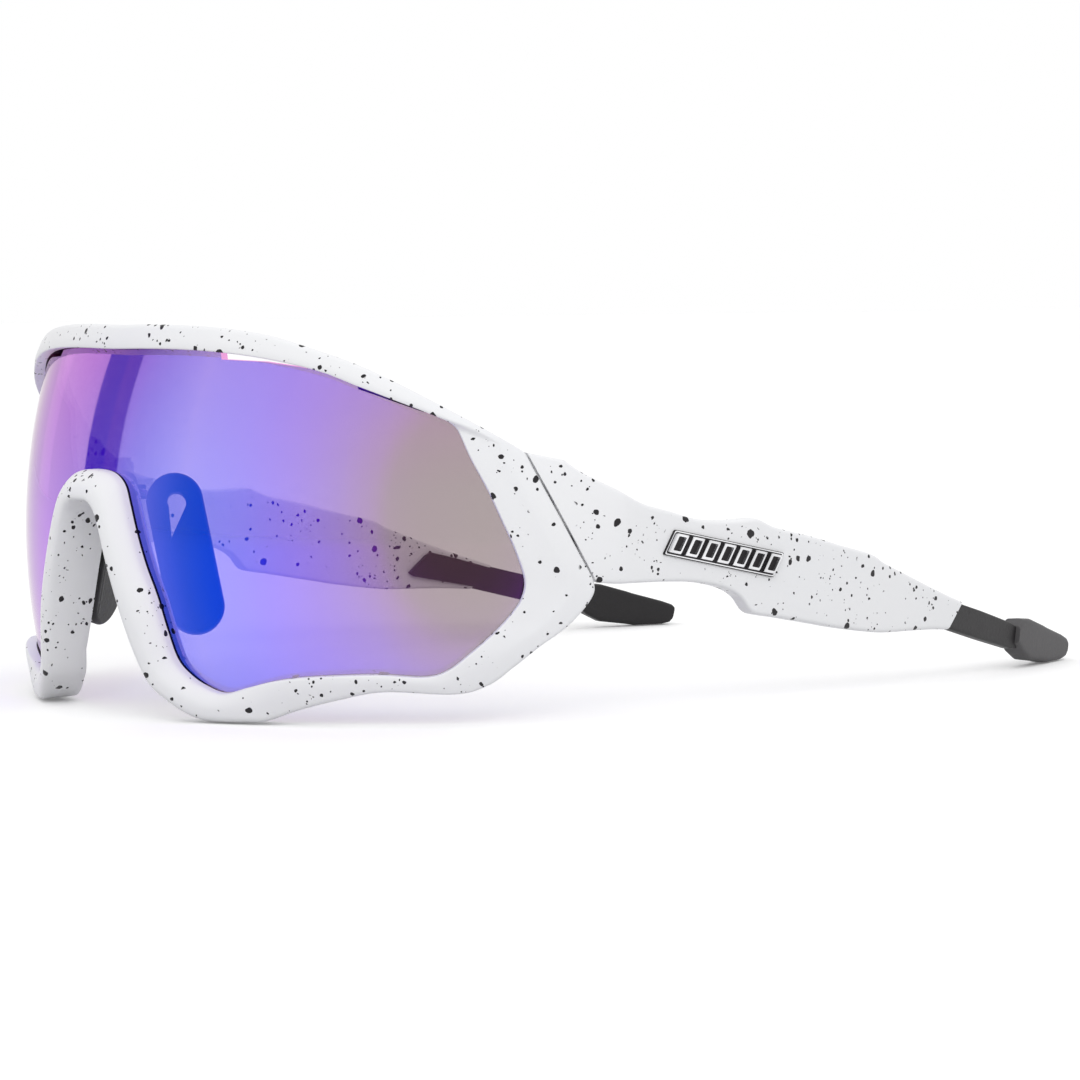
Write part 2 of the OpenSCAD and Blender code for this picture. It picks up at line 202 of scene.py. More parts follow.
# ---------------------------------------------------------------- material tools
class Nodes:
    """A small helper that makes a node tree line by line."""

    def __init__(self, name):
        self.material = bpy.data.materials.new(name)
        self.material.use_nodes = True
        self.tree = self.material.node_tree
        self.shader = self.tree.nodes["Principled BSDF"]
        place = self.new("ShaderNodeTexCoord")
        self.coord, self.normal = place.outputs["Object"], place.outputs["Normal"]

    def new(self, kind, **settings):
        node = self.tree.nodes.new(kind)
        for key, value in settings.items():
            setattr(node, key, value)
        return node

    def put(self, socket, value):
        if hasattr(value, "is_output") or isinstance(value, bpy.types.NodeSocket):
            self.tree.links.new(value, socket)
        else:
            socket.default_value = value

    def math(self, kind, a, b=None, c=None, clamp=False):
        node = self.new("ShaderNodeMath", operation=kind, use_clamp=clamp)
        for socket, value in zip(node.inputs, (a, b, c)):
            if value is not None:
                self.put(socket, value)
        return node.outputs[0]

    def noise(self, scale, detail=3.0, rough=0.5, vector=None, out="Fac"):
        node = self.new("ShaderNodeTexNoise")
        self.put(node.inputs["Vector"], vector or self.coord)
        node.inputs["Scale"].default_value = scale
        node.inputs["Detail"].default_value = detail
        node.inputs["Roughness"].default_value = rough
        return node.outputs[out]

    def part(self, vector, axis):
        node = self.new("ShaderNodeSeparateXYZ")
        self.put(node.inputs[0], vector)
        return node.outputs[axis]

    def ramp(self, value, stops, easing="LINEAR"):
        node = self.new("ShaderNodeValToRGB")
        node.color_ramp.interpolation = easing
        while len(node.color_ramp.elements) < len(stops):
            node.color_ramp.elements.new(0.5)
        for element, (at, colour) in zip(node.color_ramp.elements, stops):
            element.position = at
            element.color = (*colour, 1) if len(colour) == 3 else colour
        self.put(node.inputs[0], value)
        return node.outputs[0]

    def span(self, value, low, high, to_low=0.0, to_high=1.0):
        node = self.new("ShaderNodeMapRange")
        names = ("Value", "From Min", "From Max", "To Min", "To Max")
        for key, v in zip(names, (value, low, high, to_low, to_high)):
            self.put(node.inputs[key], v)
        return node.outputs[0]

    def mix(self, fac, a, b, kind="MIX"):
        node = self.new("ShaderNodeMix", data_type="RGBA", blend_type=kind)
        self.put(node.inputs["Factor"], fac)
        for socket, value in ((node.inputs[6], a), (node.inputs[7], b)):
            self.put(socket, (*value, 1) if isinstance(value, tuple) and len(value) == 3 else value)
        return node.outputs[2]

    def bump(self, height, depth):
        node = self.new("ShaderNodeBump")
        node.inputs["Strength"].default_value = 1.0
        node.inputs["Distance"].default_value = depth
        self.put(node.inputs["Height"], height)
        self.put(self.shader.inputs["Normal"], node.outputs[0])

    def set(self, **values):
        for key, value in values.items():
            self.put(self.shader.inputs[key.replace("_", " ")], value)
        return self.material


# ---------------------------------------------------------------- materials
WHITE, WHITE_COOL, INK = (0.86, 0.86, 0.87), (0.82, 0.83, 0.85), (0.008, 0.007, 0.009)


def spots(n, vector, cell, low, high, share, edge=0.05, offset=(0, 0, 0)):
    """Round marks in a share of the cells of a Voronoi pattern, low to high mm in radius."""
    moved = n.new("ShaderNodeVectorMath", operation="ADD")
    n.put(moved.inputs[0], vector)
    moved.inputs[1].default_value = offset
    cells = n.new("ShaderNodeTexVoronoi")
    n.put(cells.inputs["Vector"], moved.outputs[0])
    cells.inputs["Scale"].default_value = 1 / (cell * MM)
    parts = n.new("ShaderNodeSeparateColor")
    n.put(parts.inputs[0], cells.outputs["Color"])
    size = n.span(n.math("POWER", parts.outputs[1], 2.2), 0, 1, low / cell, high / cell)
    radius = n.math("MULTIPLY", size, n.math("LESS_THAN", parts.outputs[0], share))
    inside = n.math("SUBTRACT", radius, cells.outputs["Distance"])
    return n.math("DIVIDE", inside, edge / cell, clamp=True)


def splatter_white():
    """Satin white plastic with flicked black paint: blots, dots, streaks and fine dust."""
    n = Nodes("splatter_white")
    wobble = n.noise(620, 2, 0.55, out="Color")
    bend = n.new("ShaderNodeVectorMath", operation="MULTIPLY_ADD")
    n.put(bend.inputs[0], wobble)
    bend.inputs[1].default_value = (0.9 * MM,) * 3
    n.put(bend.inputs[2], n.coord)
    bent = bend.outputs[0]
    slant = n.new("ShaderNodeMapping")
    slant.inputs["Rotation"].default_value = (math.radians(38), math.radians(20), math.radians(12))
    slant.inputs["Scale"].default_value = (1, 0.34, 1)
    n.put(slant.inputs["Vector"], bent)
    patch = n.span(n.noise(95, 2, 0.6), 0.51, 0.52)
    layers = [
        spots(n, bent, 4.8, 0.4, 0.9, 0.8),
        spots(n, bent, 3.1, 0.2, 0.7, 0.75, offset=(0.31, 0.17, 0.05)),
        spots(n, bent, 1.9, 0.14, 0.4, 0.6, offset=(0.71, 0.27, 0.15)),
        n.math("MULTIPLY", spots(n, bent, 1.5, 0.2, 0.46, 0.8, offset=(0.11, 0.43, 0.2)), patch),
        n.math("MULTIPLY", spots(n, bent, 0.9, 0.1, 0.24, 0.45, 0.05, (0.23, 0.09, 0.4)), patch),
        spots(n, slant.outputs[0], 2.6, 0.16, 0.42, 0.75, 0.05, (0.07, 0.61, 0.33)),
    ]
    ink = layers[0]
    for layer in layers[1:]:
        ink = n.math("MAXIMUM", ink, layer)
    base = n.mix(n.noise(28, 2), WHITE, WHITE_COOL)
    paint = n.math("MULTIPLY", ink, 0.6)
    grain = n.math("MULTIPLY", n.noise(900, 2), 0.25)
    n.bump(n.math("ADD", paint, grain), 0.03 * MM)
    return n.set(
        Base_Color=n.mix(ink, base, INK),
        Roughness=n.span(ink, 0, 1, 0.34, 0.22),
        IOR=1.4,
    )


def rubber(name, dark, light, rough, inner=None):
    """Matt rubber; with inner, the side toward the head is painted that darker colour as painted shade,
    so the outer side reads as lit.
    """
    n = Nodes(name)
    fine = n.noise(1500, 4, 0.65)
    cloudy = n.noise(60, 3)
    scuff = n.span(n.noise(340, 5, 0.7), 0.6, 0.72)
    colour = n.mix(n.math("MULTIPLY", cloudy, 0.7), dark, light)
    if inner:
        # Painted shade: faces turned toward the head take the inner colour, as if unlit.
        side = n.math("SIGN", n.part(n.coord, "X"))
        outward = n.math("MULTIPLY", n.part(n.normal, "X"), side)
        colour = n.mix(n.span(outward, -0.25, 0.15), inner, colour)
    n.bump(fine, 0.05 * MM)
    wear = n.math("ADD", n.math("MULTIPLY", fine, 0.6), n.math("MULTIPLY", scuff, 0.3))
    return n.set(
        Base_Color=n.mix(n.math("MULTIPLY", scuff, 0.12), colour, light),
        Roughness=n.span(wear, 0.2, 0.8, rough - 0.08, rough + 0.1),
        IOR=1.45,
    )


def metal(name, colour, rough, stretch=(1, 1, 30)):
    """Brushed metal: fine lines along the axis with the largest stretch."""
    n = Nodes(name)
    lines = n.new("ShaderNodeMapping")
    lines.inputs["Scale"].default_value = stretch
    n.put(lines.inputs["Vector"], n.coord)
    brushed = n.noise(900, 3, 0.6, lines.outputs[0])
    tarnish = n.noise(120, 3)
    darker = tuple(0.72 * c for c in colour)
    n.bump(brushed, 0.02 * MM)
    return n.set(
        Base_Color=n.mix(n.span(tarnish, 0.35, 0.75), colour, darker),
        Metallic=1.0,
        Roughness=n.span(brushed, 0.25, 0.75, rough - 0.06, rough + 0.1),
    )


def black_plastic():
    n = Nodes("black_plastic")
    grain = n.noise(1300, 3, 0.6)
    n.bump(grain, 0.04 * MM)
    return n.set(
        Base_Color=n.mix(n.noise(150), (0.016, 0.016, 0.018), (0.032, 0.032, 0.034)),
        Roughness=n.span(grain, 0.3, 0.7, 0.42, 0.58),
    )


# Share of the slope towards grazing sight, and the mirrored colour there
MIRROR_TINTS = [
    (0.0, (0.05, 0.02, 0.03)), (0.09, (0.06, 0.02, 0.06)), (0.13, (0.13, 0.01, 0.28)),
    (0.19, (0.10, 0.0, 0.55)), (0.27, (0.06, 0.0, 0.84)), (0.36, (0.0, 0.05, 1.0)),
    (0.47, (0.0, 0.11, 1.0)), (0.58, (0.16, 0.17, 0.82)), (0.68, (0.36, 0.21, 0.74)),
    (0.76, (0.44, 0.23, 0.76)), (0.84, (0.48, 0.20, 0.76)), (0.92, (0.36, 0.13, 0.52)),
    (1.0, (0.5, 0.3, 0.4)),
]


def lens_mirror():
    """Coated front of the lens: what it mirrors turns from grey through violet to blue and pink,
    and it mirrors more and lets less through towards grazing sight."""
    n = Nodes("lens_mirror")
    weight = n.new("ShaderNodeLayerWeight")
    weight.inputs["Blend"].default_value = 0.5
    slope = n.math("SQRT", weight.outputs["Facing"])
    # Painted reflection: near the lens's outer ends the tint slides back along the ramp by position,
    # standing for the weaker light mirrored there.
    side = n.span(n.math("ABSOLUTE", n.part(n.coord, "X")), 50 * MM, 62 * MM, 0, -0.07)
    uneven = n.math("MULTIPLY_ADD", n.noise(22, 2), 0.04, -0.02)
    drift = n.math("ADD", n.math("ADD", slope, side), uneven)
    smear = n.noise(70, 4, 0.6)
    high = n.span(n.part(n.coord, "Z"), 38 * MM, 60 * MM)
    tint = n.mix(high, n.ramp(drift, MIRROR_TINTS, "B_SPLINE"), (1, 0.6, 0.82), "MULTIPLY")
    return n.set(
        Base_Color=tint,
        Metallic=1.0,
        Roughness=n.span(smear, 0.3, 0.7, 0.035, 0.07),
        Alpha=n.span(slope, 0.47, 0.62, 0.60, 0.93),
    )


def lens_smoke():
    """Uncoated back and edge of the lens: rose-smoke polycarbonate that filters what is behind."""
    n = Nodes("lens_smoke")
    n.set(
        Base_Color=n.mix(n.noise(40), (0.05, 0.05, 0.06), (0.07, 0.07, 0.08)),
        Roughness=n.span(n.noise(80, 4), 0.3, 0.7, 0.04, 0.08),
    )
    clear = n.new("ShaderNodeBsdfTransparent")
    side = n.span(n.math("ABSOLUTE", n.part(n.coord, "X")), 34 * MM, 60 * MM)
    high = n.span(n.part(n.coord, "Z"), 38 * MM, 60 * MM)
    smoke = n.mix(side, (0.97, 0.75, 0.92), (0.97, 0.86, 0.84))
    n.put(clear.inputs["Color"], n.mix(high, smoke, (1, 0.84, 0.96), "MULTIPLY"))
    both = n.new("ShaderNodeMixShader")
    both.inputs[0].default_value = 0.05
    n.tree.links.new(clear.outputs[0], both.inputs[1])
    n.tree.links.new(n.shader.outputs[0], both.inputs[2])
    n.tree.links.new(both.outputs[0], n.tree.nodes["Material Output"].inputs["Surface"])
    return n.material


white = splatter_white()
core_rubber = rubber("core_rubber", (0.010, 0.009, 0.010), (0.024, 0.022, 0.024), 0.56)
# tip_rubber: its grey colours include painted sheen of the lit outer side, and inner is painted shade on
# the side toward the head.
tip_rubber = rubber(
    "tip_rubber", (0.070, 0.068, 0.071), (0.105, 0.102, 0.105), 0.62, inner=(0.009, 0.008, 0.009)
)
pad_rubber = rubber("pad_rubber", (0.005, 0.005, 0.006), (0.013, 0.013, 0.014), 0.5)
steel = metal("steel", (0.62, 0.62, 0.64), 0.28)
badge_dark = metal("badge_dark", (0.035, 0.033, 0.035), 0.3, (1, 30, 1))
badge_bright = metal("badge_bright", (0.86, 0.86, 0.88), 0.16, (1, 30, 1))

# ---------------------------------------------------------------- rim
# Each row: angle and height of the opening, angle and height of the outside, nose share
SEAM_TOP, SEAM_LOW = (61.6, 43.9), (70, 22.7)


def seam_a(z):
    return SEAM_TOP[0] + (SEAM_TOP[1] - z) * (SEAM_LOW[0] - SEAM_TOP[0]) / (SEAM_TOP[1] - SEAM_LOW[1])


HALF_RIM = [
    (0, 60.8, 0, 65, 0), (7, 60.9, 7, 65.1, 0), (14, 60.8, 14.5, 64.9, 0),
    (20, 60.4, 21, 64.4, 0), (26, 59.6, 27.5, 63.3, 0), (31.5, 58.4, 33.5, 61.3, 0),
    (36, 57, 39.5, 58.8, 0), (40, 55.1, 44.8, 55.9, 0), (44, 53.2, 49.3, 53, 0),
    (48.5, 51, 53.8, 49.9, 0), (51.8, 49.2, 58, 46.8, 0), (53, 48, 60.8, 44.6, 0),
    (53.6, 46.6, seam_a(43.6), 43.6, 0), (54.8, 43, seam_a(41), 41, 0),
    (56.8, 38, seam_a(36), 36, 0), (58.5, 33, seam_a(31), 31, 0),
    (60, 28.5, seam_a(27), 27, 0), (61.2, 23.5, seam_a(22.8), 22.8, 0),
    (60.8, 20.5, 69.6, 20, 0), (59.5, 18, 66.8, 15.9, 0), (57.4, 15.1, 63.2, 12.6, 0),
    (54.5, 11.9, 59.8, 9.2, 0), (51.5, 9, 56.7, 6.4, 0), (48.6, 8, 52.5, 5, 0),
    (43, 8.4, 43.5, 5.4, 0), (37.2, 8.2, 37.5, 4, 0), (32.6, 7.8, 32, 2.2, 0),
    (28.9, 7.1, 28.4, 0.6, 0.1), (25.4, 6, 26, 0.1, 0.3), (21.4, 4.8, 19.4, 0.1, 0.6),
    (18.3, 5.9, 16.2, 1.3, 0.8), (16, 7.6, 13.6, 3.4, 0.9), (14.2, 10, 11.4, 5.8, 1),
    (13, 14.4, 9.8, 10, 1), (11.6, 20.3, 8.2, 15.6, 1), (9.8, 25.5, 6.9, 21, 1),
    (8.2, 30.7, 5.6, 26.2, 1), (6.8, 35.5, 4.4, 31, 1), (5.6, 38.6, 3.3, 34, 1),
    (3.4, 40.4, 1.8, 35.6, 1), (0, 40.9, 0, NOSE_TOP, 1),
]
LAST = len(HALF_RIM) - 1
RIM_STEPS = 8
SIDE_ROWS = (9.5, 11.5, 19, 21.5)  # where the ridge down the side fades in and out


def rim_row(i):
    if i < 0:
        i, flip = -i, True
    elif i > LAST:
        i, flip = 2 * LAST - i, True
    else:
        flip = False
    r = HALF_RIM[i]
    return (-r[0], r[1], -r[2], r[3], r[4]) if flip else r


def width(s):
    return math.hypot((s[2] - s[0]) * DEG_MM, s[3] - s[1])


def across(s, w, off):
    """A point w mm outside the opening's edge of station s."""
    f = w / width(s)
    return face(s[0] + f * (s[2] - s[0]), s[1] + f * (s[3] - s[1]), off)


def nose_back(s, w):
    share = max(0, min(1, s[4]))
    x, y, z = across(s, w - (1 - share) * BACK_IN, -RIM_BACK)
    return (x, y + share * max(0, NOSE_Y - y), z)


SHADE_BEAD = 0.16  # the black-painted edge that shows beside the lens, painted shade of the groove
FACET_SINK = 0.75  # how far the facet beside the lens is sunk under the side's ridge
BROW_CROWN = 0.22  # how far the brow and the lower edge swell
RIM_CORNER_STEPS = 4
GROOVE_SHADE_CORNERS = (8, 9, 10, 11)  # the groove's faces, painted black as the groove's shade
ROUND_CORNERS = 8


def rim_ring(s, row):
    l = width(s)
    # Above the middle, the lip reaches into the opening where LIP_STRETCH says, so its black-painted
    # face fills the vent gap above the lens as painted shade.
    lip = LIP - (LIP_REACH * lookup(abs(s[0]), LIP_STRETCH) if s[1] > LENS_MID_Z else 0)
    nose = max(0, min(1, s[4]))
    side = softstep(row, SIDE_ROWS[0], SIDE_ROWS[1]) * (1 - softstep(row, SIDE_ROWS[2], SIDE_ROWS[3]))
    crest = RIM_PROUD + NOSE_CREST * nose
    low = FACET_SINK * side
    bulge = BROW_CROWN * (1 - side) * (1 - nose)
    ridge = 0.5 + 0.1 * side
    points = [
        across(s, 0, RIM_PROUD - low - 0.25 * nose),
        across(s, l * ridge * 0.5, RIM_PROUD - 0.6 * low + bulge + (crest - RIM_PROUD) * 0.45),
        across(s, l * ridge, RIM_PROUD - 0.02 * side + bulge + (crest - RIM_PROUD) * 0.8),
        across(s, l, crest),
        nose_back(s, l),
        nose_back(s, l - BACK_WALL),
        across(s, l - NOSE_WALL - 0.1, -RIM_BACK),
        across(s, lip, -RIM_BACK),
        across(s, lip, -RIM_BACK + LIP_T),
        across(s, GROOVE_D, -RIM_BACK + LIP_T),
        across(s, GROOVE_D, FIT),
        across(s, 0, FIT),
        across(s, 0, FIT + SHADE_BEAD),
    ]
    radii = [
        0.35 + 0.9 * nose, 0.8, 0.9 - 0.45 * side, 0.9 + 0.9 * nose, 0.8 + 0.5 * nose, 0.25,
        0.2, 0.2, 0, 0, 0, 0, 0,
    ]
    return rounded(points, radii, RIM_CORNER_STEPS)


def rim_stations():
    half = []
    for i in range(LAST):
        four = [rim_row(i - 1), rim_row(i), rim_row(i + 1), rim_row(i + 2)]
        half += [(smooth(*four, k / RIM_STEPS), i + k / RIM_STEPS) for k in range(RIM_STEPS)]
    other = [([-s[0], s[1], -s[2], s[3], s[4]], row) for s, row in reversed(half[1:])]
    return half + [(list(HALF_RIM[LAST]), LAST)] + other


def make_rim():
    rings = [rim_ring(s, row) for s, row in rim_stations()]
    corner_of = [i for i in range(ROUND_CORNERS) for _ in range(RIM_CORNER_STEPS + 1)]
    corner_of += [i for i in range(ROUND_CORNERS, ROUND_CORNERS + 5)]
    # Painted shade: the groove faces, the lip's front and the bead beside the lens take the black
    # rubber, standing for the shadow in the white groove.
    slots = [1 if c in GROOVE_SHADE_CORNERS else 0 for c in corner_of] * len(rings)
    return loft("rim_shell", rings, [white, core_rubber], loop=True, face_slots=slots)


rim = make_rim()
add(rim, "front", "splatter_white", "rim")

# ---------------------------------------------------------------- lens
EDGE_FIT = 0.2
LENS_ROWS = (17, 18)
LENS_COLS, LENS_LINES = 220, 26
VENTS = [
    (19, 0), (20, 1), (33, 0.62), (34, 0), (39, 0), (42, 0.3), (45, 0.34), (48, 0.25), (51, 0.14),
    (52.3, 0),
]


def lens_edge(i):
    s = HALF_RIM[i]
    f = (GROOVE_D - EDGE_FIT) / width(s)
    return (s[0] + f * (s[2] - s[0]), s[1] + f * (s[3] - s[1]))


UPPER = [lens_edge(i) for i in range(LENS_ROWS[0] + 1)]
LOWER = [lens_edge(i) for i in range(LAST, LENS_ROWS[1] - 1, -1)]
LENS_END = lens_edge(LENS_ROWS[1])[0]


def lens_heights(a):
    low = lookup(abs(a), LOWER)
    high = lookup(abs(a), UPPER) - VENT_DROP * lookup(abs(a), VENTS)
    return low, high


def make_lens():
    columns = {LENS_END * (2 * i / LENS_COLS - 1) for i in range(LENS_COLS + 1)}
    columns |= {sign * a for a, _ in VENTS for sign in (-1, 1)}
    angles = sorted(columns)
    rings = []
    for a in angles:
        low, high = lens_heights(a)
        steps = [low + (high - low) * k / LENS_LINES for k in range(LENS_LINES + 1)]
        rings.append([face(a, z, 0) for z in steps] + [face(a, z, -LENS_T) for z in reversed(steps)])
    per_ring = 2 * (LENS_LINES + 1)
    slots = []
    for _ in range(len(angles) - 1):
        slots += [0 if k < LENS_LINES else 1 for k in range(per_ring)]
    slots += [1, 1]
    return loft("lens_shield", rings, [lens_mirror(), lens_smoke()], face_slots=slots)


add(make_lens(), "front", "mirror_lens", "lens")

# ---------------------------------------------------------------- temples


def skin_x(y, z):
    wrap = math.sqrt((LENS_R + RIM_PROUD - drop(z)) ** 2 - max(0, AXIS_Y - y) ** 2)
    bow = ARM_X - ARM_BOW * (max(0, y - BOW_Y) / (TIP_Y - BOW_Y)) ** 2
    return min(wrap, bow)


def inside(y, z, d):
    """A point d mm inside the outer skin of the temple."""
    s = skin_x(y + 0.5, z) - skin_x(y - 0.5, z)
    n = math.hypot(1, s)
    return (skin_x(y, z) - d / n, y + d * s / n, z)


def seam_point(y, z, d):
    """The same for the temple's seam end, where y is taken as the angle round the lens."""
    return face(y + SEAM_GAP, z, RIM_PROUD - d)


CORNER_STEPS = 5
SIDE_STEPS = 6


def section(top, low, d0, d1, corner, point):
    """A ring between a top and a low point, from depth d0 to d1, with rounded corners."""
    h = math.hypot(top[0] - low[0], top[1] - low[1])
    flat = rounded([(0, d0, 0), (h, d0, 0), (h, d1, 0), (0, d1, 0)], [corner] * 4, CORNER_STEPS)
    ring = []
    for i, p in enumerate(flat):
        q = flat[(i + 1) % len(flat)]
        straight = i % (CORNER_STEPS + 1) == CORNER_STEPS
        for k in range(SIDE_STEPS if straight else 1):
            s, d, _ = p.lerp(q, k / SIDE_STEPS)
            t = s / h
            ring.append(point(top[0] + t * (low[0] - top[0]), top[1] + t * (low[1] - top[1]), d))
    return ring


SEAM_CORNER, TEMPLE_CORNER, TEMPLE_STEPS = 0.45, 0.8, 4
# Each row of a piece along the temple: y and height of its top edge, then of its lower edge
TEMPLE_ROWS = [
    (-5, 42.6, 0.5, 22.5), (-2.5, 40.6, 1.5, 22.4), (2, 38.2, 3, 22.3),
    (8, 35.2, 8, 22.2), (14, 33.6, 14, 22), (20, 32, 20, 21.5), (26, 31.4, 26, 20.2),
    (30, 31.4, 29.6, 18.4), (33, 31.4, 32, 15.8), (35, 30.8, 35, 15), (38, 29.6, 38, 14.5),
    (46, 27.8, 46, 13), (54, 25.7, 54, 11.5), (62, 23.7, 62, 10.3), (65.5, 22, 66, 9.9),
    (72, 19.5, 72, 9.7), (80, 16.5, 79, 9.4), (88.5, 13.6, 83.8, 9),
]


def fine_rows(rows):
    """The rows with smooth ones between them."""
    out = []
    last = len(rows) - 1
    for i in range(last):
        four = [rows[max(0, i - 1)], rows[i], rows[i + 1], rows[min(last, i + 2)]]
        out += [smooth(*four, k / TEMPLE_STEPS) for k in range(TEMPLE_STEPS)]
    return out + [list(rows[last])]


def bar(name, rows, depths, corner, material):
    """A bar along the temple's curve, between two depths under its outer skin."""
    rings = [section(r[:2], r[2:], *depths, corner, inside) for r in rows]
    return loft(name, rings, material)


def make_temple():
    rings = [section(SEAM_TOP, SEAM_LOW, 0, ARM_T, SEAM_CORNER, seam_point)]
    for r in fine_rows(TEMPLE_ROWS):
        rings.append(section(r[:2], r[2:], 0, ARM_T, TEMPLE_CORNER, inside))
    return loft("left_temple_shell", rings, white)


CORE_ROWS = [
    (72, 16, 72, 12.5), (82.5, 13.6, 82.5, 10.6), (83.5, 14.6, 83.5, 9.4),
    (96, 11.3, 96, 6.1), (106, 8.5, 106, 3.7), (109, 7.2, 109, 3.4), (121, 4.2, 121, 1.6),
]
TIP_ROWS = [
    (108, 7.7, 107.2, 4.5), (109.4, 8.8, 109, 2.7), (112.4, 8.6, 112, 1.1), (117.6, 7, 117.6, 0.3),
    (119, 6.5, 119, 0), (125, 4.7, 125, 0), (127.1, 3.9, 126.5, 0.3), (127.6, 3.4, 127, 0.8),
]
GRIP_ROWS = [
    (73.6, 16.4, 69.6, 13), (74.6, 16.9, 70.6, 12.3), (80, 15.5, 79, 10.6), (88.4, 13, 84.4, 9.5),
]
CORE_DEPTHS, TIP_DEPTHS, GRIP_DEPTHS = (0.5, ARM_T - 0.5), (-0.4, ARM_T + 0.4), (ARM_T + 0.03, ARM_T + 1)

shell = make_temple()
core = bar("left_temple_core_skin", CORE_ROWS, CORE_DEPTHS, 0.5, core_rubber)
tip = bar("left_tip_skin", TIP_ROWS, TIP_DEPTHS, 1.0, tip_rubber)
grip = bar("left_inner_grip_skin", GRIP_ROWS, GRIP_DEPTHS, 0.4, core_rubber)
for piece, slot, node in (
    (shell, "splatter_white", "temple"),
    (core, "core_rubber", "temple_core"),
    (tip, "tip_rubber", "tip"),
    (grip, "core_rubber", "inner_grip"),
):
    right = mirror_x(piece, piece.name.replace("left", "right"))
    add(piece, "left_arm", slot, "left_" + node)
    add(right, "right_arm", slot, "right_" + node)

# ---------------------------------------------------------------- badges
BADGE_Y, BADGE_Z, BADGE_L, BADGE_H = 12, 26.6, 25, 4.4
BADGE_LEAN, BADGE_FALL, BADGE_BASE, BADGE_SLAT, SLATS = 1.7, -12, 0.6, 0.7, 7
BADGE_SEAT = 0.2


def badge_point(u, v, w):
    turn = math.radians(BADGE_FALL)
    y = BADGE_Y + u * math.cos(turn) - v * math.sin(turn)
    z = BADGE_Z + u * math.sin(turn) + v * math.cos(turn)
    return (ARM_X - BADGE_SEAT + w, y, z)


def leaning(u0, u1, v0, v1, inset=0.0):
    """The four corners of a slanted panel, each side moved in by inset."""
    lean = BADGE_LEAN / BADGE_H
    side = inset * math.hypot(1, lean)
    low, high = v0 + inset, v1 - inset
    return [
        (u0 + side + lean * low, low), (u1 - side + lean * low, low),
        (u1 - side + lean * high, high), (u0 + side + lean * high, high),
    ]


def badge_block(points, faces, levels, slot_list, slots, corners):
    """A stack of slanted panels (corners, height) closed at its first and last one."""
    start = len(points)
    for (u0, u1, v0, v1, inset), w in levels:
        flat = rounded([(p[0], p[1], 0) for p in leaning(u0, u1, v0, v1, inset)], [corners] * 4, 3)
        points += [badge_point(p[0], p[1], w) for p in flat]
    n = (len(points) - start) // len(levels)
    for i in range(len(levels) - 1):
        for k in range(n):
            q = (k + 1) % n
            a, b = start + i * n, start + (i + 1) * n
            faces.append((a + k, b + k, b + q, a + q))
            slot_list.append(slots[i])
    faces.append(tuple(start + k for k in range(n)))
    faces.append(tuple(start + (len(levels) - 1) * n + k for k in range(n)))
    slot_list += [slots[0], slots[-1]]


def make_badge():
    """A dark plate with a raised border and bright framed cells that stand on it."""
    points, faces, slots = [], [], []
    whole = (0, BADGE_L, 0, BADGE_H)
    plate = [
        ((*whole, 0.0), -0.3), ((*whole, 0.0), BADGE_BASE - 0.12), ((*whole, 0.12), BADGE_BASE),
        ((*whole, 0.3), BADGE_BASE), ((*whole, 0.36), BADGE_BASE - 0.15),
    ]
    badge_block(points, faces, plate, slots, [0, 0, 1, 0], 0.35)
    pitch = BADGE_L / SLATS
    top = BADGE_BASE + BADGE_SLAT
    for i in range(SLATS):
        cell = ((i + 0.12) * pitch, (i + 0.84) * pitch, 0.55, BADGE_H - 0.55)
        frame_levels = [
            ((*cell, 0.0), BADGE_BASE - 0.3), ((*cell, 0.0), top - 0.14), ((*cell, 0.12), top),
            ((*cell, 0.42), top), ((*cell, 0.5), top - 0.45),
        ]
        badge_block(points, faces, frame_levels, slots, [1, 1, 1, 1, 0], 0.22)
    return make_mesh("left_badge_plate", points, faces, [badge_dark, badge_bright], face_slots=slots)


badge = make_badge()
other_badge = mirror_x(badge, "right_badge_plate")
add(badge, "left_arm", "badge_metal", "left_badge")
add(other_badge, "right_arm", "badge_metal", "right_badge")

# ---------------------------------------------------------------- nose pads
SLOT_AT, SLOT_R, SLOT_TIP, WIRE_ROOM = (5, 8), 1.6, (2.9, 2.2), 1
PAD_EDGE = 0.75


def pad_outline():
    r = PAD_D / 2
    turns = [math.radians(5 * k) for k in range(37)]
    high = [(r + r * math.cos(t), PAD_HIGH - r + r * math.sin(t)) for t in turns]
    low = [(r - r * math.cos(t), PAD_LOW + r - r * math.sin(t)) for t in turns]
    return high + low


def slot_outline():
    turns = [math.radians(-36 + 9 * k) for k in range(27)]
    x, z = SLOT_AT
    return [(x + SLOT_R * math.cos(t), z + SLOT_R * math.sin(t)) for t in turns] + [SLOT_TIP]


def flat_plate(outlines, thick, edge):
    """Points and faces of a flat plate with rounded edges: x and z in its plane, y across."""
    curve = bpy.data.curves.new("plate", "CURVE")
    curve.dimensions = "2D"
    curve.fill_mode = "BOTH"
    curve.extrude = thick / 2 - edge
    curve.bevel_depth = edge
    curve.bevel_resolution = 4
    curve.offset = -edge
    for outline in outlines:
        line = curve.splines.new("POLY")
        line.points.add(len(outline) - 1)
        for p, (x, z) in zip(line.points, outline):
            p.co = (x, z, 0, 1)
        line.use_cyclic_u = True
    holder = bpy.data.objects.new("plate", curve)
    bpy.context.scene.collection.objects.link(holder)
    depsgraph = bpy.context.evaluated_depsgraph_get()
    mesh = holder.evaluated_get(depsgraph).to_mesh()
    points = [(v.co.x, v.co.z, v.co.y) for v in mesh.vertices]
    faces = [tuple(p.vertices) for p in mesh.polygons]
    bpy.data.objects.remove(holder)
    return points, faces


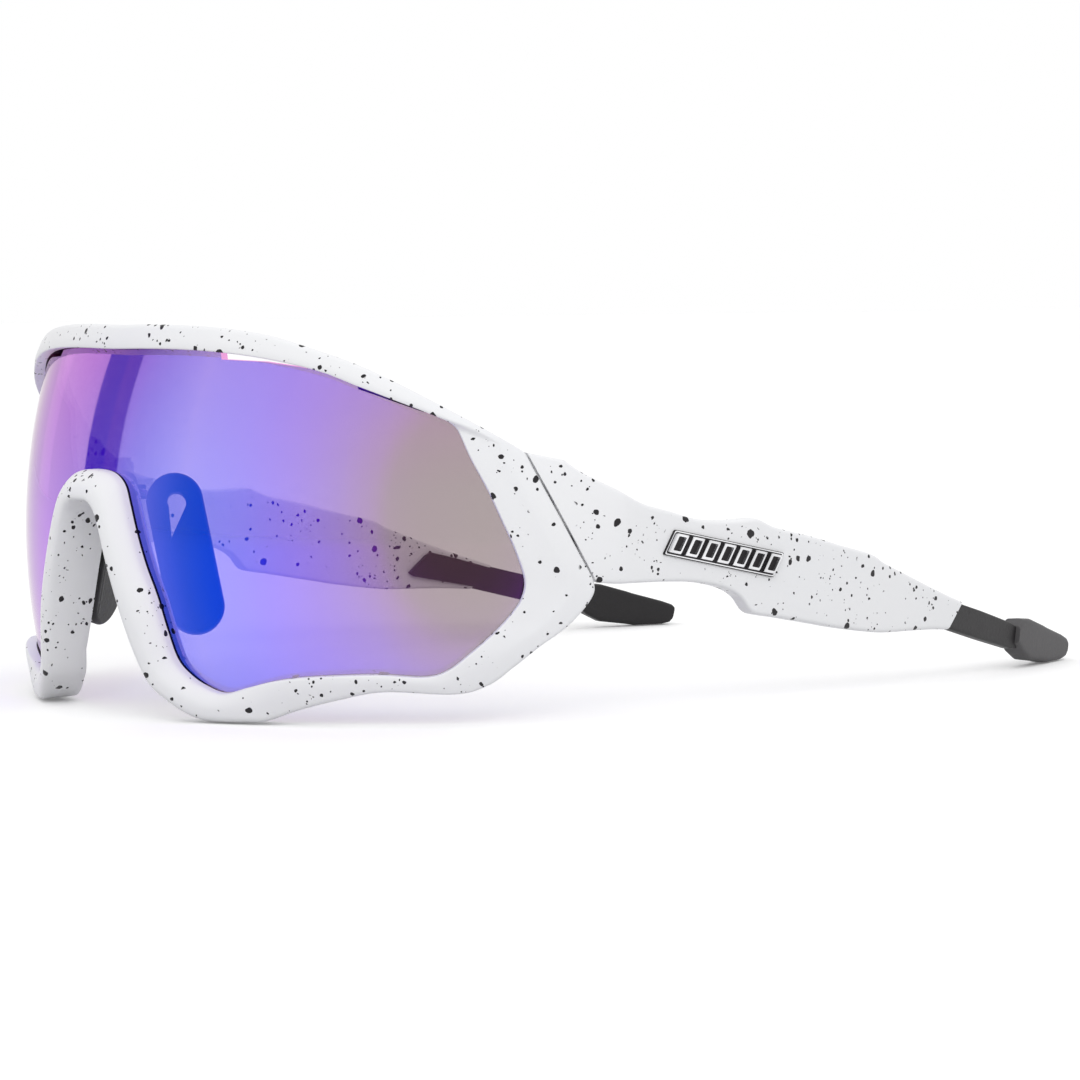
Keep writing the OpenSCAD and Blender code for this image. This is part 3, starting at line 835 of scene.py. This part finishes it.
def lathe(profile, sides=40):
    points = [
        (r * math.cos(2 * math.pi * k / sides), r * math.sin(2 * math.pi * k / sides), z)
        for r, z in profile for k in range(sides)
    ]
    faces = []
    for i in range(len(profile) - 1):
        for k in range(sides):
            q = (k + 1) % sides
            faces.append((i * sides + k, (i + 1) * sides + k, (i + 1) * sides + q, i * sides + q))
    faces.append(tuple(range(sides)))
    faces.append(tuple((len(profile) - 1) * sides + k for k in range(sides)))
    return points, faces


def make_pad():
    splay = Matrix.Rotation(math.radians(-WIRE_SPLAY), 4, "Y")
    leg = Matrix.Translation((WIRE_X, WIRE_Y, WIRE_Z)) @ splay
    flare = Matrix.Rotation(math.radians(90 - PAD_FLARE), 4, "Z")
    plate_points, plate_faces = flat_plate([pad_outline(), slot_outline()], PAD_T, PAD_EDGE)
    shaped = [leg @ flare @ Vector((x - BARREL_R, y, z)) for x, y, z in plate_points]
    rounding, groove, r = 0.3, 0.2, BARREL_R - 0.05
    profile = [(r - rounding, BARREL_LOW), (r, BARREL_LOW + rounding)]
    for z in (BARREL_LOW + 2, BARREL_HIGH - 2.6):
        profile += [(r, z), (r - groove, z + 0.15), (r - groove, z + 0.5), (r, z + 0.65)]
    profile += [(r, BARREL_HIGH - rounding), (r - rounding, BARREL_HIGH)]
    sleeve_points, sleeve_faces = lathe(profile)
    plate = make_mesh("left_nose_pad_rubber", shaped, plate_faces, pad_rubber)
    cut = make_mesh("channel", *channel(leg), pad_rubber)
    carve(plate, cut)
    sleeve = make_mesh("sleeve", [leg @ Vector(p) for p in sleeve_points], sleeve_faces, pad_rubber)
    join(plate, sleeve)
    return plate


def channel(leg):
    """The room in which the bent wire leaves the top of the pad towards the nose."""
    turns = [math.radians(-90 + 15 * k) for k in range(13)]
    outline = [(WIRE_ROOM * math.cos(t), WIRE_ROOM * math.sin(t)) for t in turns]
    outline += [(-4, WIRE_ROOM), (-4, -WIRE_ROOM)]
    n = len(outline)
    points = [leg @ Vector((x, y, z)) for z in (BARREL_HIGH, PAD_HIGH + 2) for x, y in outline]
    faces = [(k, (k + 1) % n, n + (k + 1) % n, n + k) for k in range(n)]
    return points, faces + [tuple(range(n)), tuple(n + k for k in range(n))]


def carve(obj, cutter):
    """Cuts cutter out of obj for good."""
    cutting = obj.modifiers.new("carve", "BOOLEAN")
    cutting.operation = "DIFFERENCE"
    cutting.object = cutter
    depsgraph = bpy.context.evaluated_depsgraph_get()
    mesh = bpy.data.meshes.new_from_object(obj.evaluated_get(depsgraph))
    obj.modifiers.clear()
    obj.data = mesh
    bpy.data.objects.remove(cutter)


def join(obj, other):
    """Adds the other object's mesh to obj's."""
    bm = bmesh.new()
    bm.from_mesh(obj.data)
    bm.from_mesh(other.data)
    bm.to_mesh(obj.data)
    bm.free()
    bpy.data.objects.remove(other)


pad = make_pad()
other_pad = mirror_x(pad, "right_nose_pad_rubber")
add(pad, "left_pad", "pad_rubber", "left_nose_pad")
add(other_pad, "right_pad", "pad_rubber", "right_nose_pad")

# ---------------------------------------------------------------- carried-over CAD nodes
CARRIED = {
    steel: [
        "nose_wire", "left_rim_hinge", "right_rim_hinge", "left_hinge_screw", "right_hinge_screw",
        "left_temple_hinge", "right_temple_hinge",
    ],
    black_plastic(): ["nose_clip"],
}
for material, names in CARRIED.items():
    for name in names:
        nodes[name].data.materials.clear()
        nodes[name].data.materials.append(material)

# ---------------------------------------------------------------- studio
FLOOR_R, FLOOR_Z = 4.0, -0.0002


def make_floor():
    """A pale floor: near-white where it is seen or mirrored, with a softer bounce as a light."""
    n = Nodes("floor")
    bounce = n.new("ShaderNodeLightPath").outputs["Is Diffuse Ray"]
    pale = n.mix(n.noise(3), (0.93, 0.93, 0.935), (0.96, 0.96, 0.96))
    material = n.set(
        Base_Color=n.mix(bounce, pale, (0.60, 0.60, 0.61)),
        Roughness=0.9,
        Emission_Color=(1, 1, 1, 1),
        Emission_Strength=n.math("MULTIPLY_ADD", bounce, -0.12, 0.12),
    )
    bpy.ops.mesh.primitive_circle_add(
        vertices=96, radius=FLOOR_R, fill_type="NGON", location=(0, 0, FLOOR_Z)
    )
    floor = bpy.context.object
    floor.name = "floor"
    floor.data.materials.append(material)


def softbox(name, azimuth, elevation, distance, size, power):
    """An area light that faces the glasses from a side of the room."""
    a, e = math.radians(azimuth), math.radians(elevation)
    data = bpy.data.lights.new(name, "AREA")
    data.shape = "RECTANGLE"
    data.size, data.size_y = size
    data.energy = power
    light = bpy.data.objects.new(name, data)
    bpy.context.scene.collection.objects.link(light)
    aim = Vector((math.sin(a) * math.cos(e), -math.cos(a) * math.cos(e), math.sin(e)))
    light.location = Vector((0, 0, 0.03)) + aim * distance
    light.rotation_euler = aim.to_track_quat("Z", "Y").to_euler()
    light.visible_glossy = False


def mirrored_card(name, azimuth, width_deg, low, high, distance, shade):
    """An upright studio card that only mirrors show: a bright panel, or a gap between panels."""
    a = math.radians(azimuth)
    w = distance * math.tan(math.radians(width_deg / 2))
    right = Vector((math.cos(a), math.sin(a), 0))
    middle = Vector((math.sin(a), -math.cos(a), 0)) * distance
    corners = [(-w, low), (w, low), (w, high), (-w, high)]
    mesh = bpy.data.meshes.new(name)
    mesh.from_pydata([middle + right * x + Vector((0, 0, z)) for x, z in corners], [], [(0, 1, 2, 3)])
    glow = Nodes(name).set(
        Base_Color=(0, 0, 0, 1),
        Roughness=1.0,
        Specular_IOR_Level=0.0,
        Emission_Color=(*shade, 1),
        Emission_Strength=1.0,
    )
    mesh.materials.append(glow)
    card = bpy.data.objects.new(name, mesh)
    bpy.context.scene.collection.objects.link(card)
    card.visible_camera = card.visible_diffuse = False
    card.visible_shadow = card.visible_transmission = False


def make_world():
    """White where it is seen or mirrored; as a light, a sky that is brighter overhead."""
    world = bpy.data.worlds.new("studio")
    world.use_nodes = True
    tree = world.node_tree
    background = tree.nodes["Background"]
    coord = tree.nodes.new("ShaderNodeTexCoord").outputs["Generated"]
    parts = tree.nodes.new("ShaderNodeSeparateXYZ")
    tree.links.new(coord, parts.inputs[0])
    height = tree.nodes.new("ShaderNodeMapRange")
    tree.links.new(parts.outputs["Z"], height.inputs["Value"])
    for key, value in zip(("From Min", "From Max", "To Min", "To Max"), SKY):
        height.inputs[key].default_value = value
    bounce = tree.nodes.new("ShaderNodeLightPath").outputs["Is Diffuse Ray"]
    strength = tree.nodes.new("ShaderNodeMix")
    tree.links.new(bounce, strength.inputs["Factor"])
    strength.inputs["A"].default_value = 1.0
    tree.links.new(height.outputs[0], strength.inputs["B"])
    tree.links.new(strength.outputs[0], background.inputs["Strength"])
    background.inputs["Color"].default_value = (1, 1, 1, 1)
    bpy.context.scene.world = world


SKY = (-0.1, 0.9, 0.80, 0.98)  # from and to this height, from and to this strength
make_floor()
make_world()
softbox("key", 58, 32, 1.2, (0.8, 0.6), 3.4)
mirrored_card("gap_dark", -57, 9, 0.02, 1.4, 1.5, (0.13, 0.03, 0.64))
mirrored_card("gap_half", -49.5, 6, 0.02, 1.4, 1.5, (0.24, 0.08, 0.64))
mirrored_card("strip", -88, 9, 0.02, 1.4, 1.5, (1.1, 1.07, 1.07))
bpy.context.scene.view_settings.view_transform = "Standard"
